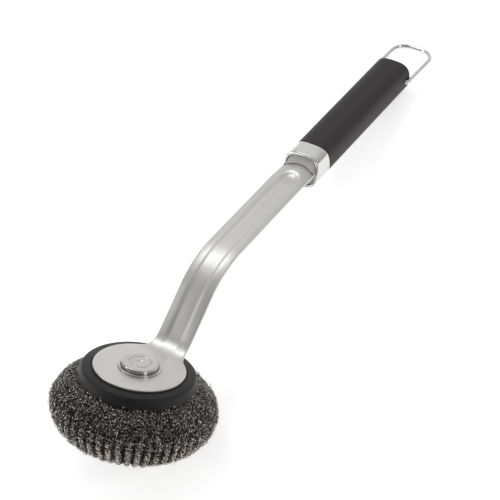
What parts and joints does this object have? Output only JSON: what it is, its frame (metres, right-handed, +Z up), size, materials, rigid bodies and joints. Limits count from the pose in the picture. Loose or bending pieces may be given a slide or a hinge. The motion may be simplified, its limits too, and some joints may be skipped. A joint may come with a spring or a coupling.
{
  "type": "grill cleaning brush",
  "caption": "Grill brush: knitted wire scrub pad on a push-button quick-release head, bent steel arm, soft grip in a bright collar and a swinging wire hanging loop.",
  "frame": {"origin": "middle of the bounding box's underside, on the table that the brush lies on", "axes": "+Z up from the table, +X along the brush from the head to the hanging loop, +Y to the left seen from the head; the brush lies on the pad's rim and on the grip's far end"},
  "size_m": [0.4482, 0.1168, 0.0881],
  "materials": {
    "plate_steel": "satin, grained along the arm",
    "bright_steel": "polished",
    "cap_steel": "turned, satin",
    "works_steel": "zinc plated",
    "spring_steel": "drawn wire",
    "ring_plastic": "fine matt grain",
    "plug_plastic": "satin",
    "core_plastic": "satin",
    "grip_rubber": "soft touch, matt",
    "knit_wire": "knitted steel wire, dull with bright glints",
    "core_foam": "coarse open foam"
  },
  "bodies": {
    "handle": {"arm": "plate_steel", "button_housing": "cap_steel", "housing_nut": "works_steel", "release_clip": "spring_steel", "clip_retainer": "works_steel", "button_spring": "spring_steel", "collar": "bright_steel", "collar_plug": "plug_plastic", "grip": "grip_rubber", "handle_core": "core_plastic", "tang_rivet_front": "works_steel", "tang_rivet_rear": "works_steel", "end_cap": "core_plastic", "loop_bushing_left": "works_steel", "loop_bushing_right": "works_steel"},
    "button": {"button_cap": "cap_steel", "release_sleeve": "works_steel", "cap_screw": "works_steel"},
    "scrub_head": {"backing_ring": "ring_plastic", "hub_post": "works_steel", "post_nut": "works_steel", "clamp_plate": "works_steel", "clamp_screw_a": "works_steel", "clamp_screw_b": "works_steel", "clamp_screw_c": "works_steel", "pad_core": "core_foam", "mesh_pad": "knit_wire", "hem_wire": "spring_steel", "tie_ring": "spring_steel"},
    "loop": {"hanging_loop": "bright_steel"}
  },
  "joints": [
    {"name": "button_press", "type": "slide", "parent": "handle", "child": "button", "axis": [-0.5906, 0, -0.807], "range_m": [0, 0.0022], "stiffness_N_per_m": 600, "springref_m": -0.002, "deforming": ["button_spring", "release_clip"]},
    {"name": "head_release", "type": "slide", "parent": "handle", "child": "scrub_head", "axis": [-0.5906, 0, -0.807], "range_m": [0, 0.04], "deforming": ["release_clip"]},
    {"name": "loop_swing", "type": "hinge", "parent": "handle", "child": "loop", "pos_m": [0.17825, 0, 0.01361], "axis": [0, -1, 0], "range_deg": [-155, 155]}
  ]
}
